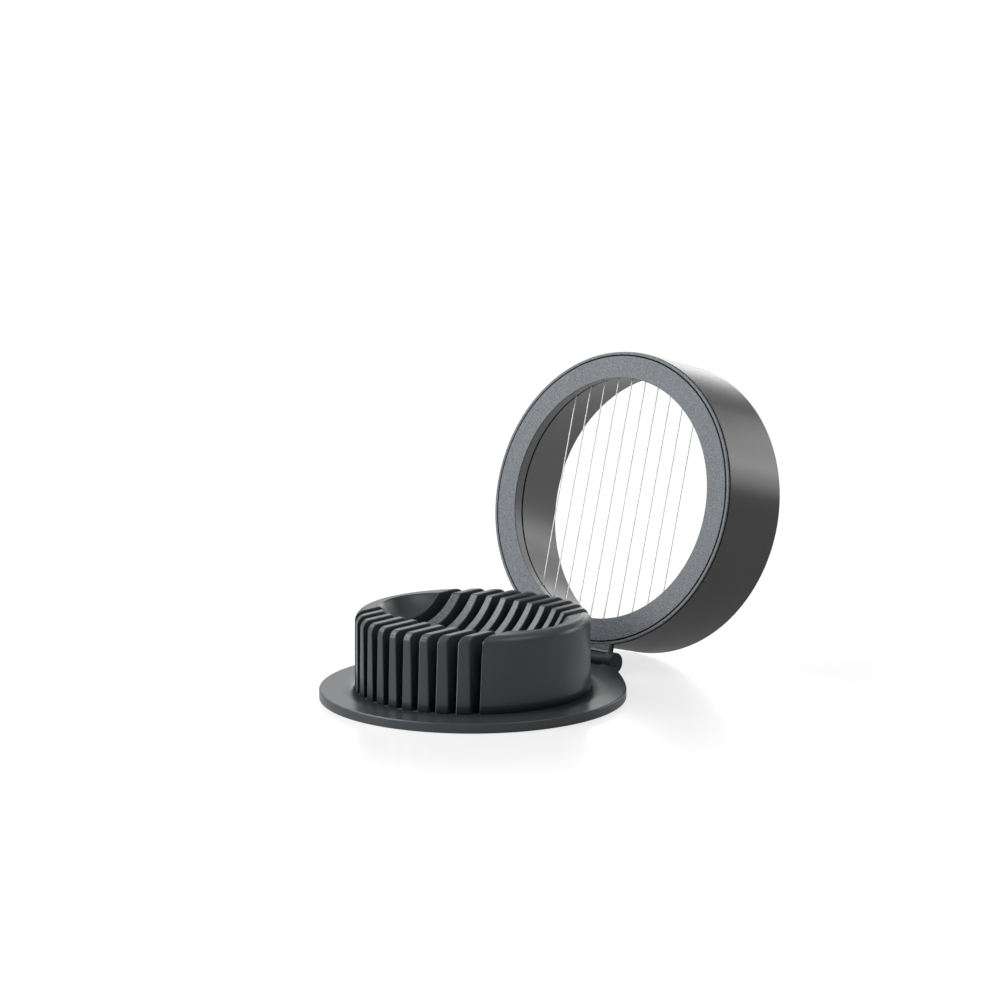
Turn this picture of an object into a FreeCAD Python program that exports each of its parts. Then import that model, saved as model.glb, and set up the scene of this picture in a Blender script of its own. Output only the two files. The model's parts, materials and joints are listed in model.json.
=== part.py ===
import FreeCAD, Part
import os
import re
import Sketcher

# Egg slicer: a round plate with a slotted egg cradle, and a deep ring of cutting wires hinged to its
# rear edge. Millimetres and degrees. The table is z = 0 under the plate's centre, +Z is up, the hinge
# runs along X at the +Y edge and the wires lie along Y. The lid is drawn shut and then swung open.

doc = FreeCAD.newDocument("EggSlicer")
V = FreeCAD.Vector
FULL_TURN = 360

SIZES = [
    # plate
    ("plate_diameter", 90.0),
    ("plate_thickness", 2.9),
    ("plate_round", 0.8),
    # hinge
    ("hinge_offset", 4.0),
    ("knuckle_radius", 2.9),
    ("knuckle_lift", 0.3),
    ("lug_width", 27.3),
    ("lug_blend", 5.0),
    ("ear_width", 3.0),
    ("ear_gap", 0.25),
    ("hinge_relief", 0.5),
    ("pin_diameter", 2.0),
    ("pin_end_gap", 0.25),
    ("pin_clearance", 0.05),
    ("pin_press_gap", 0.02),
    ("pin_chamfer", 0.25),
    ("socket_wall", 0.8),
    # cradle
    ("cradle_gap", 2.45),
    ("cradle_draft", 0.2),
    ("cradle_height", 22.4),
    ("cradle_floor", 1.4),
    ("cradle_round", 2.5),
    ("slot_foot_width", 1.87),
    ("slot_top_width", 2.9),
    ("hollow_depth", 10.1),
    ("hollow_width", 38.7),
    ("hollow_rim", 3.84),
    ("hollow_side_arc", 80.0),
    ("hollow_end_arc", 21.5),
    # lid, from the outside inwards and from the face backwards
    ("closed_gap", 0.2),
    ("table_gap", 0.2),
    ("lid_height", 26.4),
    ("band_wall", 1.6),
    ("band_skirt", 0.6),
    ("band_groove", 0.3),
    ("skirt_length", 2.6),
    ("back_round", 0.5),
    ("front_bevel", 0.25),
    ("strip_back", 0.1),
    ("strip_height", 1.0),
    ("strip_width", 0.9),
    ("strip_step", 0.15),
    ("face_groove", 0.25),
    ("face_flange", 1.0),
    ("frame_wall", 1.15),
    ("channel_width", 2.8),
    ("channel_plate", 1.4),
    ("lip_wall", 2.55),
    ("back_wall", 1.55),
    ("back_flange", 1.0),
    ("funnel_wall", 1.6),
    ("spigot_length", 1.4),
    ("spigot_wall", 1.5),
    ("seam_depth", 4.45),
    ("seam_gap", 0.25),
    ("tab_thickness", 2.3),
    ("tab_clearance", 0.15),
    # wires and their crimped stops
    ("wire_count", 10),
    ("wire_pitch", 5.2),
    ("wire_diameter", 0.45),
    ("wire_slack", 0.025),
    ("wire_tail", 0.15),
    ("stop_diameter", 1.5),
    ("stop_length", 2.0),
    ("stop_gap", 0.15),
    # seats between glued or pressed pieces
    ("seat_gap", 0.05),
]

sheet = doc.addObject("Spreadsheet::Sheet", "Sizes")
for row, (alias, value) in enumerate(SIZES, 1):
    sheet.set(f"A{row}", alias)
    sheet.set(f"B{row}", str(value))
    sheet.setAlias(f"B{row}", alias)
doc.recompute()

# Heights and radii that several pieces share, as formulas of the sizes above.
PLATE_RADIUS = "(plate_diameter / 2)"
HINGE_REACH = f"({PLATE_RADIUS} + hinge_offset)"
HINGE_HEIGHT = "(knuckle_radius + knuckle_lift)"
BARREL = "(lug_width - 2 * ear_width - 2 * ear_gap)"
SOCKETS = "(lug_width - 2 * socket_wall)"
FACE = "(plate_thickness + closed_gap)"
LID_BACK = f"({FACE} + lid_height)"
STRIP_RADIUS = f"({PLATE_RADIUS} - strip_step)"
STRIP_INNER = f"({STRIP_RADIUS} - strip_width)"
STRIP_END = "(strip_back + strip_height)"
FACE_RADIUS = f"({STRIP_INNER} - face_groove)"
BAND_INNER = f"({PLATE_RADIUS} - band_wall)"
BAND_START = f"({STRIP_END} + band_groove)"
BAND_SHOULDER = f"({BAND_START} + skirt_length)"
SKIRT_INNER = f"({PLATE_RADIUS} - band_skirt)"
TAB_END = "(strip_back + tab_thickness)"
FRAME_RADIUS = f"({BAND_INNER} - seat_gap)"
CHANNEL_OUT = f"({FRAME_RADIUS} - frame_wall)"
CHANNEL_IN = f"({CHANNEL_OUT} - channel_width)"
BORE_FRONT = f"({CHANNEL_IN} - lip_wall)"
BORE_BACK = f"({FRAME_RADIUS} - back_wall)"
WALL_START = "(seam_depth + seam_gap)"
WIRE_DEPTH = "(seam_depth + wire_slack + wire_diameter / 2)"
NOTCH_FLOOR = f"({WIRE_DEPTH} + wire_diameter / 2 + wire_slack)"
CHANNEL_FLOOR = f"({WIRE_DEPTH} + stop_diameter / 2 + stop_gap)"
CHANNEL_BASE = f"({CHANNEL_FLOOR} + channel_plate)"
CRADLE_RADIUS = f"({BORE_FRONT} - cradle_gap)"
CRADLE_CROWN = f"({CRADLE_RADIUS} - cradle_draft)"
CRADLE_TOP = "(plate_thickness + cradle_height)"
HOLLOW_RADIUS = "(((hollow_width / 2) ^ 2 + hollow_depth ^ 2) / (2 * hollow_depth))"
HOLLOW_AXIS = f"({CRADLE_TOP} - hollow_depth + {HOLLOW_RADIUS})"
HOLLOW_REACH = f"({CRADLE_CROWN} - hollow_rim)"
ROLL = "(hinge_offset + back_round)"
LEAN = f"({LID_BACK} - {HINGE_HEIGHT} - back_round)"
DROP = f"({HINGE_HEIGHT} - back_round - table_gap)"
OPEN_ANGLE = f"(atan({ROLL} / {LEAN}) + acos(-{DROP} / sqrt({ROLL} ^ 2 + {LEAN} ^ 2)))"
LID_OPEN = (
    f"placement(vector(0; 0; 0); rotation(vector(1; 0; 0); -{OPEN_ANGLE}); "
    f"vector(0; {HINGE_REACH}; {HINGE_HEIGHT}))"
)


def bore(depth):
    """Radius of the lid's conical bore at a depth behind its face."""
    return f"({BORE_FRONT} + ({BORE_BACK} - {BORE_FRONT}) * {depth} / lid_height)"


def behind_face(depth):
    """Height, lid shut, of a depth behind the lid's face."""
    return f"({FACE} + {depth})"


def wire_x(number):
    """Sideways position of one wire, counted from the -X side."""
    return f"(({number} - (wire_count + 1) / 2) * wire_pitch)"


def stop_start(number):
    """Distance from the middle at which a wire's stop bears on the channel's inner wall."""
    inner_edge = f"(abs({wire_x(number)}) - stop_diameter / 2)"
    return f"(sqrt({CHANNEL_IN} ^ 2 - {inner_edge} ^ 2) + seat_gap)"


def formula(text):
    """Write the size names in a formula as cells of the sheet."""
    return re.sub(r"\b[a-z]+(?:_[a-z]+)+\b", r"Sizes.\g<0>", text)


def number(text):
    """Present value of a formula."""
    value = sheet.evalExpression(formula(text))
    return getattr(value, "Value", value)


def new_body(label, placement=None):
    """Start a piece; lid pieces take the swung-open placement."""
    body = doc.addObject("PartDesign::Body", label)
    if placement:
        body.setExpression("Placement", formula(placement))
    return body


def new_sketch(body, name, role, lift=None):
    """Start a sketch on one of the body's own origin planes, lifted along its normal if asked."""
    item = body.newObject("Sketcher::SketchObject", name)
    plane = next(part for part in body.Origin.OriginFeatures if part.Role == role)
    item.AttachmentSupport = [(plane, "")]
    item.MapMode = "FlatFace"
    if lift:
        item.setExpression("AttachmentOffset.Base.z", formula(lift))
    return item


def tie(item, kind, *where):
    """Add a constraint that has no size."""
    item.addConstraint(Sketcher.Constraint(kind, *where))


def hold(item, kind, *where):
    """Add a constraint whose last argument is a formula."""
    *places, text = where
    index = item.addConstraint(Sketcher.Constraint(kind, *places, number(text)))
    item.setExpression(f"Constraints[{index}]", formula(text))


def outline(item, corners):
    """Closed straight-sided outline whose corners are held by formulas from the origin."""
    points = [V(number(across), number(up), 0) for across, up in corners]
    count = len(points)
    for index in range(count):
        item.addGeometry(Part.LineSegment(points[index], points[(index + 1) % count]))
    for index in range(count):
        tie(item, "Coincident", index, 2, (index + 1) % count, 1)
    for index, (across, up) in enumerate(corners):
        if across == "0":
            tie(item, "PointOnObject", index, 1, -2)
        else:
            hold(item, "DistanceX", -1, 1, index, 1, across)
        if up == "0":
            tie(item, "PointOnObject", index, 1, -1)
        else:
            hold(item, "DistanceY", -1, 1, index, 1, up)


def disc(item, across, up, radius):
    """One circle with its centre and radius held by formulas."""
    centre = V(number(across), number(up), 0)
    index = item.addGeometry(Part.Circle(centre, V(0, 0, 1), number(radius)))
    hold(item, "Radius", index, radius)
    if across == "0":
        tie(item, "PointOnObject", index, 3, -2)
    else:
        hold(item, "DistanceX", -1, 1, index, 3, across)
    if up == "0":
        tie(item, "PointOnObject", index, 3, -1)
    else:
        hold(item, "DistanceY", -1, 1, index, 3, up)


def arc(centre, radius, start, end):
    """Arc through two points about a centre, turning anticlockwise."""
    circle = Part.Circle(centre, V(0, 0, 1), radius)
    return Part.ArcOfCircle(circle, circle.parameter(start), circle.parameter(end))


def turned(body, name, corners):
    """Ring turned about the vertical axis from a profile of radius and height."""
    profile = new_sketch(body, name + "_profile", "XZ_Plane")
    outline(profile, corners)
    item = body.newObject("PartDesign::Revolution", name)
    item.Profile = profile
    item.ReferenceAxis = (profile, ["V_Axis"])
    item.Angle = FULL_TURN
    body.Tip = item
    doc.recompute()
    return item


def extruded(body, kind, name, profile, length, side="One side"):
    """Pad or pocket of a profile by a formula of length."""
    item = body.newObject(kind, name)
    item.Profile = profile
    item.SideType = side
    item.setExpression("Length", formula(length))
    body.Tip = item
    doc.recompute()
    return item


def cut_through(body, name, profile):
    """Pocket both ways through everything."""
    item = body.newObject("PartDesign::Pocket", name)
    item.Profile = profile
    item.SideType = "Symmetric"
    item.Type = "ThroughAll"
    body.Tip = item
    doc.recompute()
    return item


def per_wire(body, name, original, profile):
    """Repeat a cut once for every wire."""
    item = body.newObject("PartDesign::LinearPattern", name)
    item.Originals = [original]
    item.Direction = (profile, ["H_Axis"])
    body.Tip = item
    item.setExpression("Length", formula("(wire_count - 1) * wire_pitch"))
    item.setExpression("Occurrences", formula("wire_count"))
    doc.recompute()
    return item


def eased(body, kind, name, feature, size, chosen):
    """Fillet or chamfer the chosen edges of the last feature."""
    edges = enumerate(feature.Shape.Edges, 1)
    names = [f"Edge{index}" for index, edge in edges if chosen(edge)]
    item = body.newObject(kind, name)
    item.Base = (feature, names)
    setting = "Radius" if kind == "PartDesign::Fillet" else "Size"
    item.setExpression(setting, formula(size))
    body.Tip = item
    doc.recompute()
    return item


def ring_at(radius, height):
    """Test for a whole circular edge of a radius at a height."""
    def chosen(edge):
        box = edge.BoundBox
        flat = box.ZLength < Part.Precision.confusion()
        wide = abs(box.XLength / 2 - number(radius)) < number("seat_gap") / 2
        return flat and wide and abs(box.ZMin - number(height)) < number("seat_gap") / 2
    return chosen


def level_at(height):
    """Test for a flat edge at a height."""
    def chosen(edge):
        box = edge.BoundBox
        return max(abs(box.ZMin - number(height)), abs(box.ZMax - number(height))) < number("seat_gap") / 2
    return chosen


# Base plate: the outline is the round plate with the hinge lug blended into its rear edge.
plate = new_body("base_plate")
plate_plan = new_sketch(plate, "plate_plan", "XY_Plane")
radius = number(PLATE_RADIUS)
blend = number("lug_blend")
side = number("lug_width / 2")
reach = number(HINGE_REACH)
blend_right = V(side + blend, ((radius + blend) ** 2 - (side + blend) ** 2) ** 0.5)
blend_left = V(-blend_right.x, blend_right.y)
rim_right = blend_right * (radius / (radius + blend))
rim_left = blend_left * (radius / (radius + blend))
line_right = V(side, blend_right.y)
line_left = V(-side, blend_right.y)
corner_right = V(side, reach)
corner_left = V(-side, reach)
rim = plate_plan.addGeometry(arc(V(), radius, rim_left, rim_right))
neck_right = plate_plan.addGeometry(arc(blend_right, blend, line_right, rim_right))
edge_right = plate_plan.addGeometry(Part.LineSegment(line_right, corner_right))
edge_rear = plate_plan.addGeometry(Part.LineSegment(corner_right, corner_left))
edge_left = plate_plan.addGeometry(Part.LineSegment(corner_left, line_left))
neck_left = plate_plan.addGeometry(arc(blend_left, blend, rim_left, line_left))
tie(plate_plan, "Coincident", rim, 3, -1, 1)
tie(plate_plan, "Tangent", rim, 2, neck_right, 2)
tie(plate_plan, "Tangent", neck_right, 1, edge_right, 1)
tie(plate_plan, "Coincident", edge_right, 2, edge_rear, 1)
tie(plate_plan, "Coincident", edge_rear, 2, edge_left, 1)
tie(plate_plan, "Tangent", edge_left, 2, neck_left, 2)
tie(plate_plan, "Tangent", neck_left, 1, rim, 1)
tie(plate_plan, "Equal", neck_right, neck_left)
hold(plate_plan, "Radius", rim, PLATE_RADIUS)
hold(plate_plan, "Radius", neck_right, "lug_blend")
hold(plate_plan, "DistanceX", -1, 1, edge_rear, 1, "lug_width / 2")
hold(plate_plan, "DistanceY", -1, 1, edge_rear, 1, HINGE_REACH)
hold(plate_plan, "DistanceX", -1, 1, edge_rear, 2, "-lug_width / 2")
hold(plate_plan, "DistanceY", -1, 1, edge_rear, 2, HINGE_REACH)
tie(plate_plan, "Vertical", edge_right)
tie(plate_plan, "Vertical", edge_left)
plate_slab = extruded(plate, "PartDesign::Pad", "plate_slab", plate_plan, "plate_thickness")
eased(plate, "PartDesign::Fillet", "plate_edge", plate_slab, "plate_round", level_at("plate_thickness"))

# Hinge ears: one roll across the lug, parted for the lid's barrel, with blind sockets for the pin.
roll_circle = new_sketch(plate, "ear_roll_circle", "YZ_Plane")
disc(roll_circle, HINGE_REACH, HINGE_HEIGHT, "knuckle_radius")
extruded(plate, "PartDesign::Pad", "ear_roll", roll_circle, "lug_width", "Symmetric")
parting = new_sketch(plate, "ear_parting_plan", "XY_Plane")
outline(parting, [
    (f"-{BARREL} / 2 - ear_gap", f"{HINGE_REACH} - knuckle_radius - hinge_relief"),
    (f"{BARREL} / 2 + ear_gap", f"{HINGE_REACH} - knuckle_radius - hinge_relief"),
    (f"{BARREL} / 2 + ear_gap", f"{HINGE_REACH} + knuckle_radius + hinge_relief"),
    (f"-{BARREL} / 2 - ear_gap", f"{HINGE_REACH} + knuckle_radius + hinge_relief"),
])
cut_through(plate, "ear_parting", parting)
socket = new_sketch(plate, "pin_socket_circle", "YZ_Plane")
disc(socket, HINGE_REACH, HINGE_HEIGHT, "pin_diameter / 2 + pin_clearance")
extruded(plate, "PartDesign::Pocket", "pin_sockets", socket, SOCKETS, "Symmetric")
seat = new_sketch(plate, "cradle_seat_circle", "XY_Plane", "plate_thickness")
disc(seat, "0", "0", f"{CRADLE_RADIUS} + seat_gap")
extruded(plate, "PartDesign::Pocket", "cradle_seat", seat, "cradle_floor")

# Egg cradle: a drum hollowed like half an egg and slotted once for every wire down to the plate.
cradle = new_body("egg_cradle")
drum = turned(cradle, "drum", [
    ("0", "plate_thickness - cradle_floor"),
    (CRADLE_RADIUS, "plate_thickness - cradle_floor"),
    (CRADLE_RADIUS, "plate_thickness"),
    (CRADLE_CROWN, CRADLE_TOP),
    ("0", CRADLE_TOP),
])
eased(cradle, "PartDesign::Fillet", "drum_shoulder", drum, "cradle_round",
      ring_at(CRADLE_CROWN, CRADLE_TOP))

hollow = new_sketch(cradle, "hollow_profile", "XZ_Plane")
axis = number(HOLLOW_AXIS)
side_arc = number("hollow_side_arc")
end_arc = number("hollow_end_arc")
side_centre = V(0, axis + side_arc - number(HOLLOW_RADIUS))
brim_point = V(number(HOLLOW_REACH), number(CRADLE_TOP))
side_circle = Part.Circle(side_centre, V(0, 0, 1), side_arc - end_arc)
brim_circle = Part.Circle(brim_point, V(0, 0, 1), end_arc)
centres = [V(point.X, point.Y) for point in side_circle.intersect(brim_circle)]
end_right = min(centres, key=lambda point: point.x)
end_left = V(-end_right.x, end_right.y)
join_right = side_centre + (end_right - side_centre).normalize() * side_arc
join_left = V(-join_right.x, join_right.y)
tip_right = V(end_right.x + (end_arc ** 2 - (axis - end_right.y) ** 2) ** 0.5, axis)
tip_left = V(-tip_right.x, axis)
cheek_left = hollow.addGeometry(arc(end_left, end_arc, tip_left, join_left))
belly = hollow.addGeometry(arc(side_centre, side_arc, join_left, join_right))
cheek_right = hollow.addGeometry(arc(end_right, end_arc, join_right, tip_right))
spindle = hollow.addGeometry(Part.LineSegment(tip_right, tip_left))
brim = hollow.addGeometry(Part.Point(brim_point), True)
tie(hollow, "Tangent", cheek_left, 2, belly, 1)
tie(hollow, "Tangent", belly, 2, cheek_right, 1)
tie(hollow, "Coincident", cheek_right, 2, spindle, 1)
tie(hollow, "Coincident", spindle, 2, cheek_left, 1)
tie(hollow, "Equal", cheek_left, cheek_right)
tie(hollow, "Symmetric", belly, 1, belly, 2, -2)
tie(hollow, "Horizontal", spindle)
tie(hollow, "PointOnObject", brim, 1, cheek_right)
hold(hollow, "Radius", belly, "hollow_side_arc")
hold(hollow, "Radius", cheek_right, "hollow_end_arc")
hold(hollow, "DistanceY", -1, 1, spindle, 1, HOLLOW_AXIS)
hold(hollow, "DistanceY", -1, 1, belly, 3, f"{HOLLOW_AXIS} + hollow_side_arc - {HOLLOW_RADIUS}")
hold(hollow, "DistanceX", -1, 1, brim, 1, HOLLOW_REACH)
hold(hollow, "DistanceY", -1, 1, brim, 1, CRADLE_TOP)
egg_hollow = cradle.newObject("PartDesign::Groove", "egg_hollow")
egg_hollow.Profile = hollow
egg_hollow.ReferenceAxis = (hollow, [f"Edge{spindle + 1}"])
egg_hollow.Angle = FULL_TURN
cradle.Tip = egg_hollow
doc.recompute()

slot = new_sketch(cradle, "slot_profile", "XZ_Plane")
outline(slot, [
    (f"{wire_x(1)} - slot_foot_width / 2", "plate_thickness"),
    (f"{wire_x(1)} + slot_foot_width / 2", "plate_thickness"),
    (f"{wire_x(1)} + slot_top_width / 2", CRADLE_TOP),
    (f"{wire_x(1)} - slot_top_width / 2", CRADLE_TOP),
])
first_slot = cut_through(cradle, "first_slot", slot)
per_wire(cradle, "slots", first_slot, slot)

# Wire frame: the funnel-shaped inner ring, notched for the wires, with the rim that carries the hinge.
frame = new_body("wire_frame", LID_OPEN)
turned(frame, "funnel", [
    (bore(WALL_START), behind_face(WALL_START)),
    (CHANNEL_IN, behind_face(WALL_START)),
    (CHANNEL_IN, behind_face(CHANNEL_FLOOR)),
    (f"{bore(CHANNEL_BASE)} + funnel_wall", behind_face(CHANNEL_BASE)),
    (FRAME_RADIUS, f"{LID_BACK} - back_flange"),
    (FRAME_RADIUS, LID_BACK),
    (bore("lid_height"), LID_BACK),
])
notch = new_sketch(frame, "notch_profile", "XZ_Plane")
outline(notch, [
    (f"{wire_x(1)} - wire_diameter / 2 - wire_slack", behind_face("seam_depth")),
    (f"{wire_x(1)} + wire_diameter / 2 + wire_slack", behind_face("seam_depth")),
    (f"{wire_x(1)} + wire_diameter / 2 + wire_slack", behind_face(NOTCH_FLOOR)),
    (f"{wire_x(1)} - wire_diameter / 2 - wire_slack", behind_face(NOTCH_FLOOR)),
])
first_notch = cut_through(frame, "first_notch", notch)
per_wire(frame, "notches", first_notch, notch)
turned(frame, "rim", [
    (f"{CHANNEL_IN} - seam_gap", behind_face(CHANNEL_FLOOR)),
    (CHANNEL_OUT, behind_face(CHANNEL_FLOOR)),
    (CHANNEL_OUT, behind_face("face_flange")),
    (STRIP_INNER, behind_face("face_flange")),
    (STRIP_INNER, behind_face("strip_back")),
    (STRIP_RADIUS, behind_face("strip_back")),
    (STRIP_RADIUS, behind_face(STRIP_END)),
    (f"{SKIRT_INNER} - seat_gap", behind_face(STRIP_END)),
    (f"{SKIRT_INNER} - seat_gap", behind_face(BAND_SHOULDER)),
    (FRAME_RADIUS, behind_face(BAND_SHOULDER)),
    (FRAME_RADIUS, behind_face(CHANNEL_BASE)),
    (f"{CHANNEL_IN} - seam_gap", behind_face(CHANNEL_BASE)),
])
tab_plan = new_sketch(frame, "tab_plan", "XY_Plane", behind_face("strip_back"))
root = f"({STRIP_INNER} + tab_clearance)"
root_radius = number(root)
tab_side = number(f"{BARREL} / 2")
root_right = V(tab_side, (root_radius ** 2 - tab_side ** 2) ** 0.5)
root_left = V(-tab_side, root_right.y)
root_arc = tab_plan.addGeometry(arc(V(), root_radius, root_right, root_left))
flank_left = tab_plan.addGeometry(Part.LineSegment(root_left, V(-tab_side, reach)))
crest = tab_plan.addGeometry(Part.LineSegment(V(-tab_side, reach), V(tab_side, reach)))
flank_right = tab_plan.addGeometry(Part.LineSegment(V(tab_side, reach), root_right))
tie(tab_plan, "Coincident", root_arc, 3, -1, 1)
tie(tab_plan, "Coincident", root_arc, 2, flank_left, 1)
tie(tab_plan, "Coincident", flank_left, 2, crest, 1)
tie(tab_plan, "Coincident", crest, 2, flank_right, 1)
tie(tab_plan, "Coincident", flank_right, 2, root_arc, 1)
tie(tab_plan, "Vertical", flank_left)
tie(tab_plan, "Vertical", flank_right)
hold(tab_plan, "Radius", root_arc, root)
hold(tab_plan, "DistanceX", -1, 1, crest, 1, f"-{BARREL} / 2")
hold(tab_plan, "DistanceY", -1, 1, crest, 1, HINGE_REACH)
hold(tab_plan, "DistanceX", -1, 1, crest, 2, f"{BARREL} / 2")
hold(tab_plan, "DistanceY", -1, 1, crest, 2, HINGE_REACH)
extruded(frame, "PartDesign::Pad", "hinge_tab", tab_plan, "tab_thickness")
barrel_circle = new_sketch(frame, "barrel_circle", "YZ_Plane")
disc(barrel_circle, HINGE_REACH, HINGE_HEIGHT, "knuckle_radius")
extruded(frame, "PartDesign::Pad", "hinge_barrel", barrel_circle, BARREL, "Symmetric")
pin_bore = new_sketch(frame, "pin_bore_circle", "YZ_Plane")
disc(pin_bore, HINGE_REACH, HINGE_HEIGHT, "pin_diameter / 2 + pin_press_gap")
cut_through(frame, "pin_bore", pin_bore)

# Clamp ring: the flat speckled face of the lid; its spigot presses into the frame over the wires.
clamp = new_body("clamp_ring", LID_OPEN)
turned(clamp, "clamp_face", [
    (bore("0"), FACE),
    (FACE_RADIUS, FACE),
    (FACE_RADIUS, behind_face("face_flange")),
    (f"{CHANNEL_OUT} - seat_gap", behind_face("face_flange")),
    (f"{CHANNEL_OUT} - seat_gap", behind_face("(face_flange + spigot_length)")),
    (f"{bore('seam_depth')} + spigot_wall", behind_face("(face_flange + spigot_length)")),
    (f"{bore('seam_depth')} + spigot_wall", behind_face("seam_depth")),
    (bore("seam_depth"), behind_face("seam_depth")),
])

# Lid band: the smooth outer sleeve, seated on the frame's shoulder and notched for the hinge tab.
band = new_body("lid_band", LID_OPEN)
sleeve = turned(band, "sleeve", [
    (SKIRT_INNER, behind_face(BAND_START)),
    (f"{PLATE_RADIUS} - front_bevel", behind_face(BAND_START)),
    (PLATE_RADIUS, behind_face(f"({BAND_START} + front_bevel)")),
    (PLATE_RADIUS, LID_BACK),
    (BAND_INNER, LID_BACK),
    (BAND_INNER, behind_face(BAND_SHOULDER)),
    (SKIRT_INNER, behind_face(BAND_SHOULDER)),
])
eased(band, "PartDesign::Fillet", "back_edge", sleeve, "back_round", ring_at(PLATE_RADIUS, LID_BACK))
tab_notch = new_sketch(band, "tab_notch_plan", "XY_Plane", behind_face(f"({TAB_END} + tab_clearance)"))
outline(tab_notch, [
    (f"-{BARREL} / 2 - tab_clearance", f"{PLATE_RADIUS} - {BARREL} / 2"),
    (f"{BARREL} / 2 + tab_clearance", f"{PLATE_RADIUS} - {BARREL} / 2"),
    (f"{BARREL} / 2 + tab_clearance", HINGE_REACH),
    (f"-{BARREL} / 2 - tab_clearance", HINGE_REACH),
])
extruded(band, "PartDesign::Pocket", "tab_notch", tab_notch, f"{TAB_END} + tab_clearance")

# Hinge pin: a plain steel pin held in the lid's barrel, turning in the two blind sockets.
pin = new_body("hinge_pin", LID_OPEN)
pin_circle = new_sketch(pin, "pin_circle", "YZ_Plane")
disc(pin_circle, HINGE_REACH, HINGE_HEIGHT, "pin_diameter / 2")
pin_rod = extruded(pin, "PartDesign::Pad", "pin_rod", pin_circle, f"{SOCKETS} - 2 * pin_end_gap", "Symmetric")
eased(pin, "PartDesign::Chamfer", "pin_ends", pin_rod, "pin_chamfer",
      lambda edge: edge.BoundBox.XLength < Part.Precision.confusion())

# Wires: straight lengths of steel wire, each as long as its place across the ring needs.
wires = []
for count in range(1, int(number("wire_count")) + 1):
    wire = new_body(f"wire_{count:02d}", LID_OPEN)
    wire_circle = new_sketch(wire, f"wire_circle_{count:02d}", "XZ_Plane")
    disc(wire_circle, wire_x(count), behind_face(WIRE_DEPTH), "wire_diameter / 2")
    extruded(wire, "PartDesign::Pad", f"wire_length_{count:02d}", wire_circle,
             f"2 * ({stop_start(count)} + stop_length + wire_tail)", "Symmetric")
    wires.append(wire)


def stop_row(label, facing):
    """Row of crimped tubes that hold one end of every wire; facing is the sign of their side along Y."""
    tubes = []
    for count in range(1, int(number("wire_count")) + 1):
        rods = []
        for name, size in (("sleeve", "stop_diameter / 2"), ("bore", "wire_diameter / 2 + wire_slack")):
            rod = doc.addObject("Part::Cylinder", f"{label}_{name}_{count:02d}")
            rod.Placement = FreeCAD.Placement(V(), FreeCAD.Rotation(V(0, 0, 1), V(0, facing, 0)))
            rod.setExpression("Radius", formula(size))
            rod.setExpression("Height", formula("stop_length"))
            rod.setExpression("Placement.Base.x", formula(wire_x(count)))
            rod.setExpression("Placement.Base.y", formula(f"{facing} * {stop_start(count)}"))
            rod.setExpression("Placement.Base.z", formula(behind_face(WIRE_DEPTH)))
            rods.append(rod)
        tube = doc.addObject("Part::Cut", f"{label}_tube_{count:02d}")
        tube.Base, tube.Tool = rods
        tubes.append(tube)
    row_of_tubes = doc.addObject("Part::Compound", label)
    row_of_tubes.Links = tubes
    row_of_tubes.setExpression("Placement", formula(LID_OPEN))
    return row_of_tubes


# Wire stops: the crimped tubes in the hidden channel, front row away from the hinge, rear row beside it.
stops_front = stop_row("wire_stops_front", -1)
stops_rear = stop_row("wire_stops_rear", 1)

doc.recompute()
for item in doc.Objects:
    if "Invalid" in item.State or "Error" in item.State:
        raise RuntimeError(f"{item.Label}: {item.State}")

os.makedirs("parts", exist_ok=True)
for piece in [plate, cradle, frame, clamp, band, pin, *wires, stops_front, stops_rear]:
    if piece.Shape.isNull() or not piece.Shape.isValid():
        raise RuntimeError(f"{piece.Label}: no valid shape")
    piece.Shape.exportStep(f"parts/{piece.Label}.step")
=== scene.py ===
import json
import math

import bmesh
import bpy
import numpy as np
from mathutils import Matrix, Vector


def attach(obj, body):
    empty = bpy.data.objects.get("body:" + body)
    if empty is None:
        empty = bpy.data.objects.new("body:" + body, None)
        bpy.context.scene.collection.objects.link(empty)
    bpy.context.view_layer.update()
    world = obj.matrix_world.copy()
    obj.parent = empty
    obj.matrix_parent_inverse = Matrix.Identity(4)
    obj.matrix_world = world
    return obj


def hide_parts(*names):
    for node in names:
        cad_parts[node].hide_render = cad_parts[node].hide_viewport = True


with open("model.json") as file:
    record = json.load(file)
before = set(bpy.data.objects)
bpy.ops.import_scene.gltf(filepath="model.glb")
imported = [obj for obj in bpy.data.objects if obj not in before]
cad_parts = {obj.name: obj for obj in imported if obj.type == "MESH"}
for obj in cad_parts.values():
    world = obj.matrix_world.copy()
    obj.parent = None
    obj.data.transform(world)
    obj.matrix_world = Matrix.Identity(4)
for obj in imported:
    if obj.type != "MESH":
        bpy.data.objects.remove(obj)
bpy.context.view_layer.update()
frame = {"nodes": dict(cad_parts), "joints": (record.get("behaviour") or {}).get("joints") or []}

# Base plate. A round moulded plate of charcoal plastic that lies on the table and carries everything.
# Its rear edge swells into a short lug for the hinge, and a shallow seat in its top takes the cradle.
# All sizes are in millimetres until a mesh is made.
MM = 0.001
merge_distance = 2e-7
plate_radius = 45.0
plate_top = 2.9
plate_round = 0.45
plate_foot_round = 0.25
seat_radius = 34.45
seat_floor = 1.5
seat_bevel = 0.12
flank_turn = 42.0
flank_radius = 115.0
flank_end = 54.4
lug_corner = 1.5
lug_turn = 123.0
lug_end = 45.6
lug_end_round = 0.12
hub_radius = 1.0
underside_ring = 40.0
top_ring = 39.0
foot_margin = 0.1
edge_margin = 0.06


def arc_points(centre, radius, start, end, count):
    """Points at even steps of angle on a circle, from start to end in degrees."""
    turn = np.radians(np.linspace(start, end, count))
    return np.stack([centre[0] + radius * np.cos(turn), centre[1] + radius * np.sin(turn)], -1)


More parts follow.
